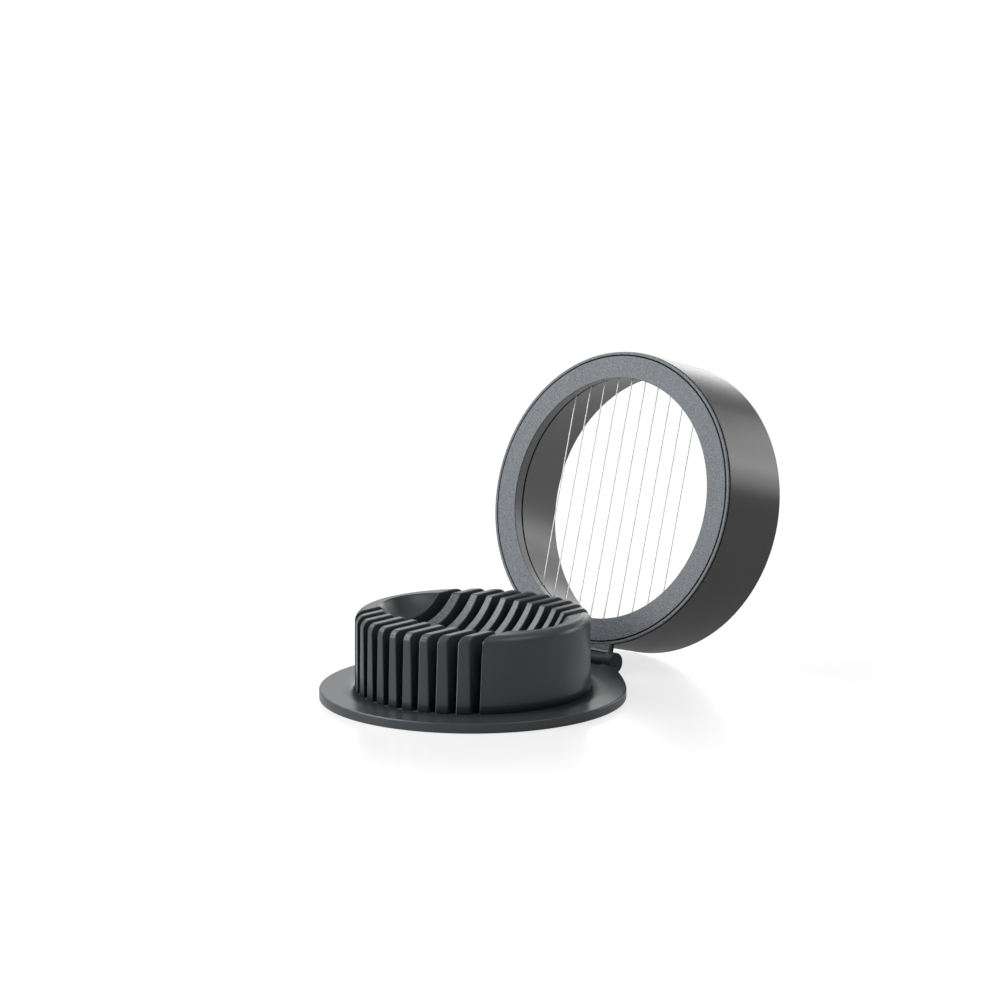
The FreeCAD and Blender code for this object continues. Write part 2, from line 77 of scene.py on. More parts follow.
def grid_faces(rows, columns, wrap_rows, wrap_columns):
    """Quads between neighbouring points of a grid, closed over either edge where asked."""
    row = np.arange(rows if wrap_rows else rows - 1)[:, None]
    column = np.arange(columns if wrap_columns else columns - 1)[None]
    here = row * columns
    after = (row + 1) % rows * columns
    beside = (column + 1) % columns
    quads = [here + column, here + beside, after + beside, after + column]
    return np.stack(np.broadcast_arrays(*quads), -1).reshape(-1, 4)


def surface(name, sheets):
    """One mesh from grids of points in millimetres, each a tuple of points, wrap over rows, wrap over
    columns, and whether its first and last rows are filled with a flat face."""
    points, faces, start = [], [], 0
    for grid, wrap_rows, wrap_columns, capped in sheets:
        rows, columns = grid.shape[:2]
        points.append(grid.reshape(-1, 3) * MM)
        faces += (grid_faces(rows, columns, wrap_rows, wrap_columns) + start).tolist()
        if capped:
            faces.append(list(range(start, start + columns)))
            faces.append(list(range(start + (rows - 1) * columns, start + rows * columns)))
        start += rows * columns
    mesh = bpy.data.meshes.new(name)
    mesh.from_pydata(np.concatenate(points).tolist(), [], faces)
    work = bmesh.new()
    work.from_mesh(mesh)
    bmesh.ops.remove_doubles(work, verts=work.verts, dist=merge_distance)
    bmesh.ops.dissolve_degenerate(work, edges=work.edges, dist=merge_distance)
    bmesh.ops.recalc_face_normals(work, faces=work.faces)
    work.to_mesh(mesh)
    work.free()
    mesh.shade_smooth()
    piece = bpy.data.objects.new(name, mesh)
    bpy.context.scene.collection.objects.link(piece)
    return piece


class Tone:
    """A shader socket that takes part in Python arithmetic; each operation adds a Math node."""

    def __init__(self, tree, socket=None):
        self.tree = tree
        self.socket = socket

    def node(self, kind, sockets=None, out=0, **settings):
        """Add a node: its settings first, then the values or links of its sockets."""
        item = self.tree.nodes.new(kind)
        for key, value in settings.items():
            setattr(item, key, value)
        for key, value in (sockets or {}).items():
            if isinstance(value, Tone):
                self.tree.links.new(value.socket, item.inputs[key])
            else:
                item.inputs[key].default_value = value
        return Tone(self.tree, item.outputs[out] if item.outputs else None)

    def math(self, operation, first, second):
        """The result of one operation on two numbers or sockets."""
        return self.node("ShaderNodeMath", {0: first, 1: second}, operation=operation)

    def __add__(self, other):
        return self.math("ADD", self, other)

    def __radd__(self, other):
        return self.math("ADD", other, self)

    def __sub__(self, other):
        return self.math("SUBTRACT", self, other)

    def __rsub__(self, other):
        return self.math("SUBTRACT", other, self)

    def __mul__(self, other):
        return self.math("MULTIPLY", self, other)

    def __rmul__(self, other):
        return self.math("MULTIPLY", other, self)


def new_finish(name):
    """A bare material and the start of its shader arithmetic."""
    material = bpy.data.materials.new(name)
    material.use_nodes = True
    material.node_tree.nodes.clear()
    return material, Tone(material.node_tree)


def ease(start, value, low, high):
    """A value carried smoothly from 0 at low to 1 at high."""
    return start.node("ShaderNodeMapRange", {"Value": value, "From Min": low, "From Max": high},
                      interpolation_type="SMOOTHSTEP")


noise_low = 0.3
noise_high = 0.7
mottle_cells = 70.0
grain_cells = 2300.0
grain_height = 0.00008
resin_level = 0.95
mottle_share = 0.06
gloss_break = 0.12
# Near-black painted shade, laid over seams, grooves and gaps.
painted_shade_black = (0.003, 0.003, 0.003, 1.0)


def grain(start, cells, detail):
    """Noise on object coordinates at so many cells to the metre, spread smoothly from 0 to 1."""
    place = start.node("ShaderNodeTexCoord", out="Object")
    noise = start.node("ShaderNodeTexNoise", {"Vector": place, "Scale": cells, "Detail": detail}, out="Fac")
    return ease(start, noise, noise_low, noise_high)


def plastic(start, colour, rough, texture, specular):
    """Moulded plastic: a slow mottling of the resin, a fine spark-eroded grain in tone and relief, and
    gloss that the grain breaks up."""
    slow = grain(start, mottle_cells, 3.0)
    fine = grain(start, grain_cells, 1.0)
    shade = resin_level + mottle_share * slow + texture * (fine - 0.5)
    toned = start.node("ShaderNodeMix", {0: 1.0, 6: (*colour, 1.0), 7: shade}, out=2,
                       data_type="RGBA", blend_type="MULTIPLY")
    relief = start.node("ShaderNodeBump", {
        "Height": fine, "Strength": min(1.0, texture), "Distance": grain_height,
    })
    return start.node("ShaderNodeBsdfPrincipled", {
        "Base Color": toned, "Roughness": rough + gloss_break * texture * (fine - 0.5), "Normal": relief,
        "Specular IOR Level": specular,
    })


def moulded(name, rest, **marked):
    """A material of one plastic all over, and of others where marks named for them on the piece are 1;
    each is a tuple of colour, roughness, texture and specular level. One more mark, always read, lays
    near-black painted shade over seams, grooves and gaps."""
    material, start = new_finish(name)
    shader = plastic(start, *rest)
    for kind, other in marked.items():
        share = start.node("ShaderNodeAttribute", out="Fac", attribute_name=kind)
        shader = start.node("ShaderNodeMixShader", {0: share, 1: shader, 2: plastic(start, *other)})
    # Painted shade: near-black wherever this mark is 1.
    share = start.node("ShaderNodeAttribute", out="Fac", attribute_name="painted_shade")
    painted_dark = start.node("ShaderNodeBsdfDiffuse", {"Color": painted_shade_black})
    shader = start.node("ShaderNodeMixShader", {0: share, 1: shader, 2: painted_dark})
    start.node("ShaderNodeOutputMaterial", {"Surface": shader})
    return material


def on_turn(radius, turn):
    """The point at a radius and an angle in degrees about the plate's middle."""
    return np.array([radius * math.cos(math.radians(turn)), radius * math.sin(math.radians(turn))])


rim = arc_points((0, 0), plate_radius, 180.0 - flank_turn, 360.0 + flank_turn, 280)
flank_middle = on_turn(plate_radius - flank_radius, flank_turn)
flank = arc_points(flank_middle, flank_radius, flank_turn, flank_end, 24)[1:]
corner_middle = flank_middle + on_turn(flank_radius - lug_corner, flank_end)
corner = arc_points(corner_middle, lug_corner, flank_end, lug_turn, 12)[1:]
rear_start = corner[-1, 0] - (corner[-1, 1] - lug_end) / math.tan(math.radians(lug_turn - 90.0))
slope = np.linspace(corner[-1], (rear_start, lug_end), 5)[1:]
side = np.concatenate([flank, corner, slope])
rear = np.stack([np.linspace(rear_start, -rear_start, 30), np.full(30, lug_end)], -1)[1:-1]
outline = np.concatenate([rim, side, rear, side[::-1] * (-1, 1)])
side_round = np.concatenate([
    np.full(len(flank), plate_round), np.linspace(plate_round, lug_end_round, len(corner)),
    np.full(len(slope), lug_end_round),
])
edge_round = np.concatenate([
    np.full(len(rim), plate_round), side_round, np.full(len(rear), lug_end_round), side_round[::-1],
])
along = np.roll(outline, -1, 0) - np.roll(outline, 1, 0)
along /= np.linalg.norm(along, axis=1, keepdims=True)
outward = np.stack([along[:, 1], -along[:, 0]], -1)


def plate_row(inset, height):
    """The plate's outline drawn in along its normal by an inset, at a height."""
    inset = np.broadcast_to(inset, len(outline))
    height = np.broadcast_to(height, len(outline))
    return np.concatenate([outline - outward * inset[:, None], height[:, None]], -1)


def seat_row(radius, height):
    """A circle about the middle, with its points on the same rays as the outline's."""
    ray = outline / np.linalg.norm(outline, axis=1, keepdims=True)
    return np.concatenate([ray * radius, np.full((len(outline), 1), height)], -1)


quarter = np.radians(np.linspace(0, 90, 9))
plate_rows = [
    seat_row(hub_radius, 0.0),
    seat_row(underside_ring, 0.0),
    plate_row(plate_foot_round + foot_margin, 0.0),
]
for turn in quarter[::2]:
    plate_rows.append(plate_row(plate_foot_round * (1 - np.sin(turn)), plate_foot_round * (1 - np.cos(turn))))
for turn in quarter:
    plate_rows.append(plate_row(edge_round * (1 - np.cos(turn)), plate_top - edge_round * (1 - np.sin(turn))))
plate_rows += [
    plate_row(edge_round + edge_margin, plate_top),
    seat_row(top_ring, plate_top),
    seat_row(seat_radius + seat_bevel, plate_top),
    seat_row(seat_radius, plate_top - seat_bevel),
    seat_row(seat_radius, seat_floor),
    seat_row(hub_radius, seat_floor),
]
plate = surface("plate", [(np.stack(plate_rows), False, True, True)])
charcoal_resin = ((0.05, 0.058, 0.064), 0.29, 0.07, 0.5)
plate.data.materials.append(moulded("charcoal_plastic", charcoal_resin))
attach(plate, "base")
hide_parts("base_plate")

# Hinge ears. Two rolled knuckles moulded in one with the plate's lug; blind holes in their inner
# faces hold the ends of the hinge pin, so no pin end shows outside.
joint = frame["joints"][0]
hinge_line = np.array(joint["pos_m"]) / MM
hinge_y, hinge_z = hinge_line[1:]
knuckle = 3.15
ear_inside = 10.65
ear_outside = 14.1
ear_inner_round = 0.15
ear_outer_round = 0.45
ear_root = 44.6
ear_foot = 0.02
ear_top = plate_top + 0.015
ear_arc_start = -78.0
arc_margin = 0.05
root_fade = 0.3


def offset_loop(loop, inset):
    """A closed loop in the plane, moved inwards along its normals."""
    step = np.roll(loop, -1, 0) - np.roll(loop, 1, 0)
    step /= np.maximum(np.linalg.norm(step, axis=1, keepdims=True), 1e-9)
    return loop - np.stack([step[:, 1], -step[:, 0]], -1) * inset


def swept_bar(loop, low, high, low_round, high_round):
    """A loop in Y and Z carried along X from low to high, with both ends rounded over."""
    rows = []
    for x, sign, ease_over in ((low, 1, low_round), (high, -1, high_round)):
        for turn in quarter[::2 * sign]:
            ring = offset_loop(loop, ease_over * (1 - np.sin(turn)))
            place = x + sign * ease_over * (1 - np.cos(turn))
            rows.append(np.column_stack([np.full(len(ring), place), ring]))
    return np.stack(rows)


def line_points(start, end, count):
    """Even steps from one point towards another, the last left out."""
    return np.linspace(start, end, count, endpoint=False)


def mark(piece, name, share):
    """Keep a value from 0 to 1 at every corner point of the mesh, from a function of the points in mm."""
    points = np.empty(len(piece.data.vertices) * 3)
    piece.data.vertices.foreach_get("co", points)
    values = np.clip(share(points.reshape(-1, 3) / MM), 0, 1)
    piece.data.attributes.new(name, "FLOAT", "POINT").data.foreach_set("value", values)


meet = math.degrees(math.asin((ear_top - hinge_z) / knuckle))
ear_loop = np.concatenate([
    line_points((ear_root, ear_foot), (hinge_y, ear_foot), 8),
    arc_points((hinge_y, hinge_z), knuckle, ear_arc_start, 180.0 - meet, 40),
    line_points((hinge_y - knuckle - arc_margin, ear_top), (ear_root, ear_top), 6),
    line_points((ear_root, ear_top), (ear_root, ear_foot), 4),
])
right_ear = swept_bar(ear_loop, ear_inside, ear_outside, ear_inner_round, ear_outer_round)
left_ear = right_ear[::-1] * (-1, 1, 1)
ears = surface("hinge_ears", [(right_ear, False, True, True), (left_ear, False, True, True)])
# A darker copy of the charcoal, as painted shade about the hinge; the ears' roots keep the charcoal.
hinge_shade_resin = ((0.03, 0.034, 0.036), 0.55, 0.4, 0.25)
mark(ears, "root", lambda points: hinge_y - knuckle + root_fade - points[:, 1])
ears.data.materials.append(moulded("hinge_shaded_plastic", hinge_shade_resin, root=charcoal_resin))
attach(ears, "base")

# Egg cradle. One moulding of the same charcoal plastic pressed into the plate's seat: a drum hollowed
# to lie against an egg and slotted for every wire, which leaves a row of thin tapered fins between
# two solid end blocks. The fins' edges are softened, and catch the light.
wire_pitch = 5.2
wire_count = 10
wire_x = (np.arange(wire_count) - (wire_count - 1) / 2) * wire_pitch
last_wire = wire_x[-1]
drum_top = 25.3
drum_foot_radius = 34.55
drum_crown_radius = 34.35
drum_round = 2.5
slot_foot = 1.87
slot_mouth = 2.9
hollow_depth = 11.1
hollow_half_width = 19.55
hollow_side_arc = 150.0
hollow_end_arc = 25.5
hollow_brim = 30.36
brim_round = 0.45
fin_edge = 0.32
fin_edge_margin = 0.05
fin_middle_inset = 0.75
sunk = 2.6

hollow_radius = (hollow_half_width ** 2 + hollow_depth ** 2) / (2 * hollow_depth)
hollow_axis = drum_top - hollow_depth + hollow_radius
brim_rise = hollow_radius - hollow_depth
side_middle = np.array([0.0, hollow_radius - hollow_side_arc])
brim = np.array([hollow_brim, brim_rise])
reach = np.linalg.norm(brim - side_middle)
arc_step = hollow_side_arc - hollow_end_arc
side_share = (arc_step ** 2 - hollow_end_arc ** 2 + reach ** 2) / (2 * reach)
across = math.sqrt(arc_step ** 2 - side_share ** 2)
to_brim = (brim - side_middle) / reach
end_middle = side_middle + side_share * to_brim + across * np.array([-to_brim[1], to_brim[0]])
join_x = hollow_side_arc * end_middle[0] / arc_step


def egg_radius(x):
    """Radius of the hollow about its axis: a flat side arc that runs over into a round end arc."""
    x = np.abs(x)
    side = side_middle[1] + np.sqrt(np.maximum(hollow_side_arc ** 2 - x ** 2, 0))
    end = end_middle[1] + np.sqrt(np.maximum(hollow_end_arc ** 2 - (x - end_middle[0]) ** 2, 0))
    return np.where(x < join_x, side, end)


def soft_least(first, second, width):
    """The lesser of two heights, rounded over where they cross."""
    share = np.clip(0.5 + 0.5 * (second - first) / width, 0, 1)
    return second * (1 - share) + first * share - width * share * (1 - share)


def cradle_height(x, y):
    """Height of the cradle's top: flat, or lower where the egg's hollow cuts in."""
    inside = np.maximum(egg_radius(x) ** 2 - y ** 2, 0)
    return soft_least(np.full_like(y, drum_top), hollow_axis - np.sqrt(inside), brim_round)


def drum_part(z):
    """How far a height is up the drum's wall, from 0 at the plate to 1 at its top."""
    return (z - plate_top) / (drum_top - plate_top)


def slot_half(z):
    """Half the width of a slot, from its foot to its wider mouth."""
    return (slot_foot + (slot_mouth - slot_foot) * drum_part(z)) / 2


shoulder_z = drum_top - drum_round
wall_z = np.linspace(sunk, shoulder_z, 8)
wall_r = drum_foot_radius + (drum_crown_radius - drum_foot_radius) * drum_part(wall_z)
shoulder = arc_points((wall_r[-1] - drum_round, shoulder_z), drum_round, 0, 90, 12)[1:]
drum_side = np.concatenate([np.stack([wall_r, wall_z], -1), shoulder])
flat_radius = drum_side[-1, 0]
wall_rows = len(drum_side)
brim_step = 1.0
span_counts = [8, 16, 56, 16, 8]
span = np.repeat(np.arange(len(span_counts)), span_counts)[1:]
span_part = np.concatenate([np.linspace(0, 1, count, endpoint=False) for count in span_counts])[1:, None]
fin_rows = 2 * wall_rows + len(span)


def fin_outline(x):
    """Y and Z of a fin's outline seen along X, from the X of every outline point at every station across:
    up one wall and over the shoulder, then in five spans over the hollow and its brims, and down again."""
    front, top, rear = np.split(x, [wall_rows, fin_rows - wall_rows])
    edge = np.sqrt(egg_radius(top) ** 2 - brim_rise ** 2)
    shelf = np.sqrt(flat_radius ** 2 - top ** 2)
    ends = np.stack([-shelf, -edge - brim_step, -edge + brim_step, edge - brim_step, edge + brim_step, shelf])
    row = np.arange(len(span))
    low, high = ends[span, row], ends[span + 1, row]
    top_y = low + (high - low) * span_part
    front_y = -np.sqrt(drum_side[:, :1] ** 2 - front ** 2)
    rear_y = np.sqrt(drum_side[::-1, :1] ** 2 - rear ** 2)
    wall = np.broadcast_to(drum_side[:, 1:], front.shape)
    y = np.concatenate([front_y, top_y, rear_y])
    z = np.concatenate([wall, cradle_height(top, top_y), wall[::-1]])
    return y, z


edge_turn = np.radians(np.linspace(90, 0, 6))
side_steps = fin_edge * (1 - np.sin(edge_turn))
side_insets = fin_edge * (1 - np.cos(edge_turn))


def fin(middle):
    """Closed loops about one fin: down its left side, over its rounded edges and top, down its right."""
    inner_steps = [fin_edge + fin_edge_margin, fin_middle_inset, fin_middle_inset, fin_edge + fin_edge_margin]
    from_side = np.concatenate([side_steps, inner_steps, side_steps[::-1]])
    insets = np.concatenate([side_insets, np.zeros(len(inner_steps)), side_insets[::-1]])
    sign = np.repeat([-1.0, 1.0], len(from_side) // 2)
    half = wire_pitch / 2
    z = np.full((fin_rows, len(sign)), drum_top)
    for _ in range(3):
        y, z = fin_outline(middle + sign * (half - slot_half(z) - from_side))
    step_y, step_z = np.gradient(y, axis=0), np.gradient(z, axis=0)
    length = np.maximum(np.hypot(step_y, step_z), 1e-9)
    y = y + insets * step_z / length
    z = np.maximum(z - insets * step_y / length, sunk)
    x = middle + sign * (half - slot_half(z) - from_side)
    loops = np.stack([x, y, z], -1)
    foot = loops[:, [0, -1]].copy()
    foot[..., 2] = sunk
    foot[..., 0] = middle + np.array([-1, 1]) * (half - slot_half(sunk))
    return np.concatenate([foot[:, :1], loops, foot[:, 1:]], 1)


block_rays = 141
ray_crowding = 1.8
ray_reach = 0.995
inner_wall = 0.8


def end_block(side):
    """Closed loops on rays about the drum's middle: up the last slot's wall, out over the hollow's end
    and the shoulder, and down the round wall."""
    spread = np.linspace(-1, 1, block_rays)
    share = np.sign(spread) * (1 - (1 - np.abs(spread)) ** ray_crowding) * ray_reach
    turn_foot = share * np.arccos((last_wire + slot_half(sunk)) / drum_foot_radius)
    turn = share * np.arccos((last_wire + slot_half(drum_top)) / drum_crown_radius)

    def top_at(radius):
        """Height of the block's top on every ray, the shoulder's fall included."""
        fall = np.clip((radius - flat_radius) / drum_round, 0, 1)
        rise = shoulder_z + drum_round * np.sqrt(1 - fall ** 2)
        return np.minimum(cradle_height(radius * np.cos(turn), radius * np.sin(turn)), rise)

    z_in = np.full_like(turn, drum_top)
    for _ in range(4):
        start = (last_wire + slot_half(z_in)) / np.cos(turn)
        z_in = top_at(start)
    below = z_in - inner_wall
    rows = [((last_wire + slot_half(sunk)) / np.cos(turn_foot), np.full_like(turn, sunk), turn_foot)]
    rows.append(((last_wire + slot_half(below)) / np.cos(turn), below, turn))
    for step, inset in zip(side_steps, side_insets):
        rows.append((start + step, top_at(start + step) - inset, turn))
    inner = start + side_steps[-1]
    for part in np.linspace(0, 1, 72)[1:]:
        radius = inner + np.maximum(flat_radius - inner, 0) * part
        rows.append((radius, top_at(radius), turn))
    steepest = np.arccos(np.clip((inner - flat_radius) / drum_round, 0, 1))
    for turned in np.radians(np.linspace(90, 0, 13))[1:]:
        lean = np.minimum(steepest, turned)
        rows.append((flat_radius + drum_round * np.cos(lean), shoulder_z + drum_round * np.sin(lean), turn))
    for radius, z in zip(wall_r[::-1][1:], wall_z[::-1][1:]):
        part = (z - sunk) / (drum_top - sunk)
        wall_turn = turn_foot + (turn - turn_foot) * part
        rows.append((np.full_like(turn, radius), np.full_like(turn, z), wall_turn))
    radius, z, turns = (np.stack(column, -1) for column in zip(*rows))
    return np.stack([side * radius * np.cos(turns), radius * np.sin(turns), z], -1)


floor_turn = np.radians(np.linspace(0, 360, 160, endpoint=False))
floor_edge = seat_radius - 0.1
floor_hub = 0.5
floor_under = seat_floor + 0.02
floor_over = plate_top - 0.01
floor_bevel = 0.1
floor_profile = np.array([
    (floor_hub, floor_under), (floor_edge, floor_under), (floor_edge, floor_over - floor_bevel),
    (floor_edge - floor_bevel, floor_over), (floor_hub, floor_over),
])
cradle_floor = np.stack([np.outer(floor_profile[:, 0], np.cos(floor_turn)),
                         np.outer(floor_profile[:, 0], np.sin(floor_turn)),
                         np.repeat(floor_profile[:, 1:], len(floor_turn), 1)], -1)
fin_middles = (wire_x[1:] + wire_x[:-1]) / 2
cradle_sheets = [(fin(middle), False, True, True) for middle in fin_middles]
cradle_sheets += [(end_block(1.0), False, True, True), (end_block(-1.0), False, True, True)]
cradle_sheets.append((cradle_floor, False, True, True))
cradle = surface("cradle", cradle_sheets)
hollow_skin = 0.03
brim_clear = 0.3
flash_inset = 0.07
flash_half_width = 0.075
flash_depth = 0.4
flash_top = 0.6
flash_side = 2.0
flash_rise = 14.0


def in_hollow(points):
    """1 on the fins' share of the egg's hollow, 0 elsewhere."""
    x, y, z = points.T
    hollow = np.abs(np.hypot(y, z - hollow_axis) - egg_radius(x)) < hollow_skin
    return np.where(hollow & (z < drum_top - brim_clear) & (np.abs(x) < last_wire), 1.0, 0.0)


def on_flash(points):
    """On the left edges of the fins at the front, a painted highlight where the edges glint in the light:
    a value that rises from 0 at the middle fin to 1 at the right; 0 elsewhere."""
    x, y, z = points.T
    from_slot = (x - wire_x[0]) % wire_pitch - slot_half(z)
    edge = np.abs(from_slot - flash_inset) < flash_half_width
    outer = (np.hypot(x, y) > drum_crown_radius - flash_depth) & (y < 0) & (x < last_wire + flash_side)
    return np.where(edge & outer & (z < drum_top - flash_top), x / flash_rise, 0.0)


# The hollow's faces get a coarser grain, and a lighter tone that is a painted sheen of the light above.
mark(cradle, "hollow", in_hollow)
# Painted highlight: pale lines along the fins' left edges at the front.
mark(cradle, "flash", on_flash)
hollow_sheen_resin = ((0.165, 0.172, 0.19), 0.36, 0.6, 0.5)
flash_resin = ((0.42, 0.43, 0.45), 0.4, 0.2, 0.4)
cradle_plastic = moulded("cradle_plastic", charcoal_resin, hollow=hollow_sheen_resin, flash=flash_resin)
cradle.data.materials.append(cradle_plastic)
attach(cradle, "base")
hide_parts("egg_cradle")

# Wire frame. The lid's inner moulding, a funnel of dark grey plastic with a channel round its front
# for the wire ends, a thin bright strip at its rim, and a notch for each end of every wire.
face = plate_top + 0.2
lid_height = 26.4
bore_front = 36.85
bore_back = 41.8
seam_back = 5.15
channel_in = 39.4
channel_out = 42.2
channel_back = 5.8
groove_back = 2.0
strip_in = 44.01
strip_out = 44.85
strip_front = 0.1
strip_back = 0.58
gap_in = 44.3
shoulder_back = 4.0
funnel_out = 43.35
space_in = 39.9
space_front = 7.0
space_back = 25.4
notch_half = 0.36
notch_back = 5.65
notch_radius = 38.5
notch_wall = 0.02
lip_skin = 0.12
open_turn = math.radians(joint["range_deg"][1])


def swing(points, turn):
    """Points turned about the hinge line by an angle, forward where it is positive."""
    y = points[..., 1] - hinge_y
    z = points[..., 2] - hinge_z
    c, s = math.cos(turn), math.sin(turn)
    return np.stack([points[..., 0], hinge_y + y * c - z * s, hinge_z + y * s + z * c], -1)


def swing_open(points):
    """Points of the shut lid, turned back to where the open lid stands."""
    return swing(points, -open_turn)


def swing_shut(points):
    """Points of the open lid, turned forward to where the shut lid lies."""
    return swing(points, open_turn)


def bore(depth):
    """Radius of the conical bore at a depth behind the lid's face."""
    return bore_front + (bore_back - bore_front) * depth / lid_height


def eased_profile(corners, steps=5, margin=0.06):
    """A closed profile of radius and depth whose corners are arcs of their own radius; a point just
    beyond each end of an arc keeps the flats between them flat."""
    corners = np.array(corners, float)
    spot, size = corners[:, :2], corners[:, 2:]
    back, ahead = np.roll(spot, 1, 0) - spot, np.roll(spot, -1, 0) - spot
    back /= np.linalg.norm(back, axis=1, keepdims=True)
    ahead /= np.linalg.norm(ahead, axis=1, keepdims=True)
    half = np.arccos(np.clip((back * ahead).sum(1, keepdims=True), -1, 1)) / 2
    first, last = spot + back * size / np.tan(half), spot + ahead * size / np.tan(half)
    inward = back + ahead
    middle = spot + inward / np.linalg.norm(inward, axis=1, keepdims=True) * size / np.sin(half)
    wide = math.pi - 2 * half
    part = np.linspace(0, 1, steps)[None, :, None]
    swung = np.sin((1 - part) * wide[:, None]) * (first - middle)[:, None]
    swung = swung + np.sin(part * wide[:, None]) * (last - middle)[:, None]
    arcs = middle[:, None] + swung / np.sin(wide)[:, None]
    before, beyond = (first + back * margin)[:, None], (last + ahead * margin)[:, None]
    return np.concatenate([before, arcs, beyond], 1).reshape(-1, 2)


def ring(profile, turns):
    """A profile of radius and depth turned about the lid's axis; angles run from +X through +Y."""
    radius, depth = profile.T[:, None]
    turns = turns[:, None]
    return np.stack(np.broadcast_arrays(radius * np.cos(turns), radius * np.sin(turns), face + depth), -1)


notch_edge = np.concatenate([wire_x - notch_half, wire_x - notch_half + notch_wall,
                             wire_x + notch_half - notch_wall, wire_x + notch_half])
notch_turn = np.arccos(notch_edge / notch_radius)
frame_turns = np.sort(np.concatenate([np.radians(np.linspace(0, 360, 240, endpoint=False)),
                                      notch_turn, -notch_turn % (2 * math.pi)]))
frame_profile = eased_profile([
    (bore(seam_back), seam_back, 0.1), (channel_in, seam_back, 0.1), (channel_in, channel_back, 0.1),
    (channel_out, channel_back, 0.1), (channel_out, groove_back, 0.05), (strip_in, groove_back, 0.05),
    (strip_in, strip_front, 0.08), (strip_out, strip_front, 0.15), (strip_out, strip_back, 0.08),
    (gap_in, strip_back, 0.03), (gap_in, shoulder_back, 0.05), (funnel_out, shoulder_back, 0.05),
    (funnel_out, space_front, 0.05), (space_in, space_front, 0.1), (funnel_out, space_back, 0.1),
    (funnel_out, lid_height, 0.12), (bore_back, lid_height, 0.3),
])
bore_steps = np.array([20.0, 12.0, 8.0, 6.2])
frame_profile = np.concatenate([frame_profile, np.stack([bore(bore_steps), bore_steps], -1)])
frame_ring = ring(frame_profile, frame_turns)
front_edge = (frame_profile[:, 1] < notch_back) & (frame_profile[:, 0] < channel_in + 0.6)
in_notch = (np.abs(frame_ring[..., :1] - wire_x) < notch_half - notch_wall / 4).any(-1)
notched = np.maximum(frame_ring[..., 2], face + notch_back)
frame_ring[..., 2] = np.where(in_notch & front_edge, notched, frame_ring[..., 2])
wire_ring = surface("wire_ring", [(swing_open(frame_ring), True, True, False)])


def about_axis(points):
    """Radius about the lid's axis and depth behind its face, for points of the open lid."""
    shut = swing_shut(points)
    return np.hypot(shut[:, 0], shut[:, 1]), shut[:, 2] - face


def between(values, low, high):
    """Whether values lie between two others."""
    return (values > low) & (values < high)


def on_strip(points):
    """1 on the strip round the front, 0 on the rest of the frame."""
    radius, depth = about_axis(points)
    return np.where((depth < strip_back + 0.12) & (radius > strip_in - 0.11), 1.0, 0.0)


def seam_painted_shade(points):
    """1 on the walls of the seam, of the groove inside the strip and of the gap behind it: painted shade."""
    radius, depth = about_axis(points)
    seam = between(depth, seam_back - 0.02, channel_back + 0.2)
    seam &= between(radius, bore(seam_back) + lip_skin, channel_out + 0.1)
    groove = between(depth, strip_front + 0.1, groove_back + 0.1)
    groove &= between(radius, channel_out - 0.2, strip_in + 0.09)
    gap = between(depth, strip_back - 0.08, shoulder_back + 0.1)
    gap &= between(radius, gap_in - 0.1, strip_out - 0.07)
    return np.where(seam | groove | gap, 1.0, 0.0)


mark(wire_ring, "front", on_strip)
# Painted shade in the seam, the groove and the gap.
mark(wire_ring, "painted_shade", seam_painted_shade)
frame_resin = ((0.14, 0.14, 0.142), 0.34, 0.1, 0.5)
textured_rim = ((0.166, 0.179, 0.198), 0.45, 0.6, 0.5)
wire_ring.data.materials.append(moulded("frame_plastic", frame_resin, front=textured_rim))
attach(wire_ring, "lid")
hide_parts("wire_frame")

# Hinge barrel. A flat tab on the frame's rim ends in a roll that turns between the two ears; it is one
# moulding with the frame. The tab's front has the grey-blue finish of the rim; the roll is painted
# darker as shade.
barrel_side = 10.4
barrel_round = 0.2
station_inset = 0.5
tab_front = face + 0.1
tab_back = face + 2.4
tab_root = 44.3
tab_skin = 0.5
roll = 2.45
roll_start = 184.0
bead = 0.3
bead_y = hinge_y - roll - bead
bead_start = bead_y - bead
tab_meet = math.degrees(math.asin((tab_back - hinge_z) / roll))
tab_end = hinge_y - roll * math.cos(math.radians(tab_meet)) - arc_margin
barrel_loop = np.concatenate([
    line_points((tab_root, tab_front), (bead_start, tab_front), 8),
    arc_points((bead_y, tab_front), bead, 180.0, 350.0, 9),
    arc_points((hinge_y, hinge_z), roll, roll_start, 540.0 - tab_meet, 48),
    line_points((tab_end, tab_back), (tab_root, tab_back), 8),
    line_points((tab_root, tab_back), (tab_root, tab_front), 5),
])
barrel_stations = np.linspace(station_inset - barrel_side, barrel_side - station_inset, 25)
barrel_ends = swept_bar(barrel_loop, -barrel_side, barrel_side, barrel_round, barrel_round)
inner_rows = np.stack([np.column_stack([np.full(len(barrel_loop), x), barrel_loop]) for x in barrel_stations])
half_rows = len(barrel_ends) // 2
barrel = np.concatenate([barrel_ends[:half_rows], inner_rows, barrel_ends[half_rows:]])
root_drop = tab_root - np.sqrt(tab_root ** 2 - barrel[..., 0] ** 2)
root_part = np.clip((bead_start - barrel[..., 1]) / (bead_start - tab_root), 0, 1)
barrel[..., 1] -= root_drop * root_part
hinge_barrel = surface("hinge_barrel", [(swing_open(barrel), False, True, True)])


def on_tab(points):
    """1 on the front of the tab above the bead, 0 on its back and on the roll."""
    shut = swing_shut(points)
    return np.where((shut[:, 1] < bead_y) & (shut[:, 2] < tab_front + tab_skin), 1.0, 0.0)


mark(hinge_barrel, "front", on_tab)
# The roll takes the darker painted shade; the tab's front keeps the rim's grey-blue.
hinge_barrel.data.materials.append(moulded("tab_rim_shaded_roll_plastic", hinge_shade_resin, front=textured_rim))
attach(hinge_barrel, "lid")

